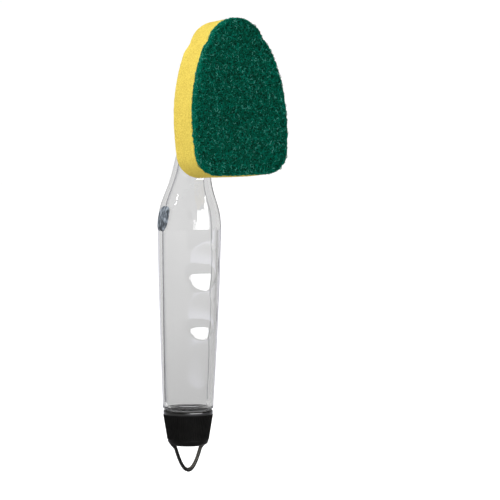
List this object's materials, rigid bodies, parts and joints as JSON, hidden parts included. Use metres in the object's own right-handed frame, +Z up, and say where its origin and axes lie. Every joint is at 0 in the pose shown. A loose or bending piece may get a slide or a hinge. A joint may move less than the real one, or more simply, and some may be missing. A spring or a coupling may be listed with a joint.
{
  "type": "dish wand",
  "caption": "Soap-filled dish wand: hollow clear handle with finger scoops, ribbed screw cap with hanging loop, and a slide-off foam and scouring-pad head.",
  "frame": {"origin": "the seat of the hanging loop, at the lowest point inside the loop, where a hook bears", "axes": "+Z up along the handle from the cap to the head; the scouring face looks towards -Y; X runs across the head"},
  "size_m": [0.0622, 0.1, 0.2829],
  "materials": {
    "clear_plastic": "clear, moulded, polished",
    "grey_rubber": "satin",
    "valve_silicone": "translucent satin",
    "cap_plastic": "semi-gloss moulded",
    "gasket_rubber": "matt",
    "base_plastic": "gloss moulded",
    "yellow_foam": "open-cell foam",
    "green_fibre": "coarse non-woven fibre"
  },
  "bodies": {
    "handle": {"front_shell": "clear_plastic", "back_shell": "clear_plastic", "thumb_pad": "grey_rubber", "outlet_valve": "valve_silicone"},
    "gasket": {"cap_gasket": "gasket_rubber"},
    "cap": {"end_cap": "cap_plastic"},
    "head": {"head_base": "base_plastic", "foam_block": "yellow_foam", "scour_pad": "green_fibre"}
  },
  "joints": [
    {"name": "cap_travel", "type": "slide", "parent": "handle", "child": "gasket", "axis": [0, 0, -1], "range_m": [0, 0.016]},
    {"name": "cap_turn", "type": "hinge", "parent": "gasket", "child": "cap", "pos_m": [0, 0, 0.03], "axis": [0, 0, 1], "range_deg": [0, 1440]},
    {"name": "head_release", "type": "slide", "parent": "handle", "child": "head", "axis": [0, 0.108, 0.9942], "range_m": [0, 0.028]}
  ],
  "couplings": [
    {"joint": "cap_travel", "follows": "cap_turn", "m_per_rad": 0.00063662}
  ]
}
